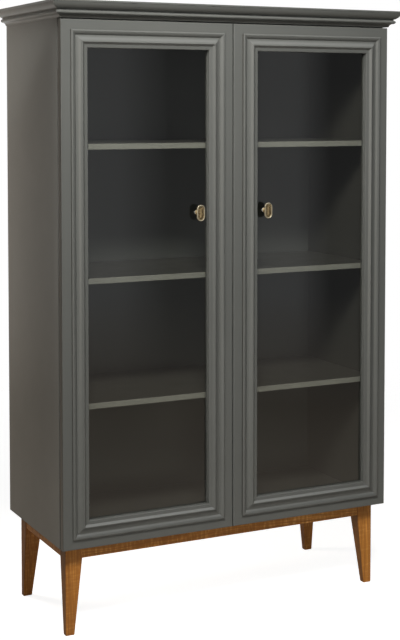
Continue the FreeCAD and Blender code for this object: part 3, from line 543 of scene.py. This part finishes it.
def make_stage():
    """A pale floor that fades into the white surround."""
    f = Finish("pale_floor")
    tone = f.noise(f.place(), FLOOR_SCALE, detail=4.0)
    colour = f.mix(f.spread(tone, MEDIUM, (0.0, FLOOR_SHARE)), FLOOR_COLOUR, FLOOR_SHADE)
    lit = f.add("BsdfDiffuse", Color=colour).outputs[0]
    lift = f.add("Emission", Color=WHITE, Strength=f.math("MULTIPLY", f.seen(), FLOOR_LIFT)).outputs[0]
    ground = f.add("AddShader", in_0=lit, in_1=lift).outputs[0]
    gone = f.add("BsdfTransparent").outputs[0]
    f.show(f.add("MixShader", in_0=f.spread(f.away(), FLOOR_CLEAR), in_1=ground, in_2=gone))
    bm = bmesh.new()
    bmesh.ops.create_grid(bm, x_segments=1, y_segments=1, size=FLOOR_SIZE / 2)
    mesh = mesh_of("floor", bm)
    mesh_object("floor", mesh, f.material)


def wall_glow():
    """A dim light with brighter bands, and warmer and brighter at the wall's foot."""
    f = Finish("front_flag")
    x, y, z = f.axes(f.place())
    strength = f.spread(y, (-WALL_RADIUS, WALL_RADIUS), WALL_GLOW)
    low = f.spread(z, (0.0, FOOT_HEIGHT), (1.0, 0.0))
    high = f.math("SUBTRACT", 1.0, low)
    for rise_span, fall_span, end, band_glow in BANDS:
        rise = f.spread(x, rise_span)
        fall = f.spread(x, fall_span, (1.0, 0.0))
        at_end = f.math("GREATER_THAN", f.math("MULTIPLY", y, end), 0.0)
        band = f.math("MULTIPLY", f.math("MULTIPLY", rise, fall), f.math("MULTIPLY", at_end, high))
        strength = f.math("ADD", strength, f.math("MULTIPLY", band, band_glow))
    strength = f.math("ADD", strength, f.math("MULTIPLY", low, FOOT_GLOW))
    tint = f.mix(f.spread(x, TINT_SPAN), WALL_LEFT_TINT, WALL_RIGHT_TINT)
    f.show(f.add("Emission", Color=f.mix(low, tint, RUG_TINT), Strength=strength))
    return f.material


def rug_glow():
    """A warm light, which fades outwards to that at the foot of the wall."""
    f = Finish("front_rug")
    strength = f.spread(f.away(), (RUG_FULL, WALL_RADIUS), (RUG_GLOW, WALL_GLOW[0] + FOOT_GLOW))
    f.show(f.add("Emission", Color=RUG_TINT, Strength=strength))
    return f.material


def top_glow():
    """A bright soft light overhead, weaker towards the rear."""
    f = Finish("top_flag")
    _, y, _ = f.axes(f.place())
    f.show(f.add("Emission", Strength=f.spread(y, (TOP_FROM[1], TOP_TO[1]), (TOP_GLOW, TOP_GLOW / 2))))
    return f.material


def wall_mesh():
    opening = math.radians(WALL_OPENING)
    bm = bmesh.new()
    rows = []
    for i in range(WALL_STEPS + 1):
        turn = math.pi / 2 + opening / 2 + (2 * math.pi - opening) * i / WALL_STEPS
        x, y = math.cos(turn) * WALL_RADIUS, math.sin(turn) * WALL_RADIUS
        rows.append([bm.verts.new((x, y, z)) for z in (0.0, WALL_HEIGHT)])
    for (foot, head), (next_foot, next_head) in zip(rows, rows[1:]):
        bm.faces.new((foot, head, next_head, next_foot))
    return mesh_of("front_flag", bm)


def rug_mesh():
    bm = bmesh.new()
    bmesh.ops.create_circle(bm, cap_ends=True, segments=WALL_STEPS, radius=WALL_RADIUS)
    bmesh.ops.translate(bm, verts=bm.verts, vec=(0.0, 0.0, RUG_LEVEL))
    return mesh_of("front_rug", bm)


def top_mesh():
    (left, front), (right, rear) = TOP_FROM, TOP_TO
    corners = ((left, front), (right, front), (right, rear), (left, rear))
    return rectangle("top_flag", [(x, y, TOP_LEVEL) for x, y in corners])


def stage_for(ray, mesh, finish):
    """A piece of the stage that only one kind of ray meets."""
    made = mesh_object(mesh.name, mesh, finish)
    for kind in ("camera", "diffuse", "glossy", "transmission", "volume_scatter", "shadow"):
        setattr(made, "visible_" + kind, kind == ray)


def make_room():
    """A dim wall round the part, a warm rug inside it and a bright top, which only reflections show."""
    for mesh, finish in ((wall_mesh(), wall_glow()), (rug_mesh(), rug_glow()), (top_mesh(), top_glow())):
        stage_for("glossy", mesh, finish)


def make_card():
    """A black card at the front left corner that keeps the front lamps off the side; only shadows show it."""
    (left, y, foot), (right, _, top) = CARD_FROM, CARD_TO
    mesh = rectangle("left_card", [(left, y, foot), (right, y, foot), (right, y, top), (left, y, top)])
    f = Finish("black_card")
    tone = f.spread(f.noise(f.place(), CARD_SCALE), MEDIUM, CARD_TONES)
    f.show(f.add("BsdfDiffuse", Color=f.add("CombineColor", Red=tone, Green=tone, Blue=tone).outputs[0]))
    stage_for("shadow", mesh, f.material)


def make_world():
    """A white surround for what the camera sees, and a dim light on everything else."""
    scene.world = bpy.data.worlds.new("surround")
    f = Nodes(scene.world, "OutputWorld")
    dim = f.add("Background", Color=AMBIENT_TINT, Strength=AMBIENT).outputs[0]
    white = f.add("Background", Color=WHITE, Strength=1.0).outputs[0]
    f.show(f.add("MixShader", in_0=f.seen(), in_1=dim, in_2=white))


def softbox(name, place, aim, size, power, tint):
    data = bpy.data.lights.new(name, "AREA")
    data.energy, data.color = power, tint
    data.shape = "RECTANGLE"
    data.size, data.size_y = size
    lamp = bpy.data.objects.new(name, data)
    lamp.location = place
    lamp.rotation_euler = (Vector(aim) - Vector(place)).to_track_quat("-Z", "Y").to_euler()
    lamp.visible_camera = False
    scene.collection.objects.link(lamp)
    return lamp


def make_lamps():
    key = softbox("key", KEY_PLACE, KEY_AIM, KEY_SIZE, KEY_POWER, FRONT_TINT)
    key.data.spread = math.radians(KEY_SPREAD)
    softbox("left", LEFT_PLACE, LEFT_AIM, LEFT_SIZE, LEFT_POWER, FRONT_TINT)
    side = softbox("side", SIDE_PLACE, SIDE_AIM, SIDE_SIZE, SIDE_POWER, SIDE_TINT)
    side.visible_glossy = False
    low = softbox("low", LOW_PLACE, LOW_AIM, LOW_SIZE, LOW_POWER, LOW_TINT)
    low.data.spread = math.radians(LOW_SPREAD)


def make_camera():
    data = bpy.data.cameras.new("camera")
    data.sensor_width, data.lens, data.shift_y = CAMERA_SENSOR, CAMERA_LENS, CAMERA_SHIFT
    camera = bpy.data.objects.new("camera", data)
    camera.location = CAMERA_PLACE
    camera.rotation_euler = (math.radians(90.0 - CAMERA_TILT), 0.0, -math.radians(CAMERA_TURN))
    scene.collection.objects.link(camera)
    scene.camera = camera


make_camera()
make_knobs()
make_stage()
make_room()
make_card()
make_world()
make_lamps()
scene.view_settings.view_transform = "Standard"
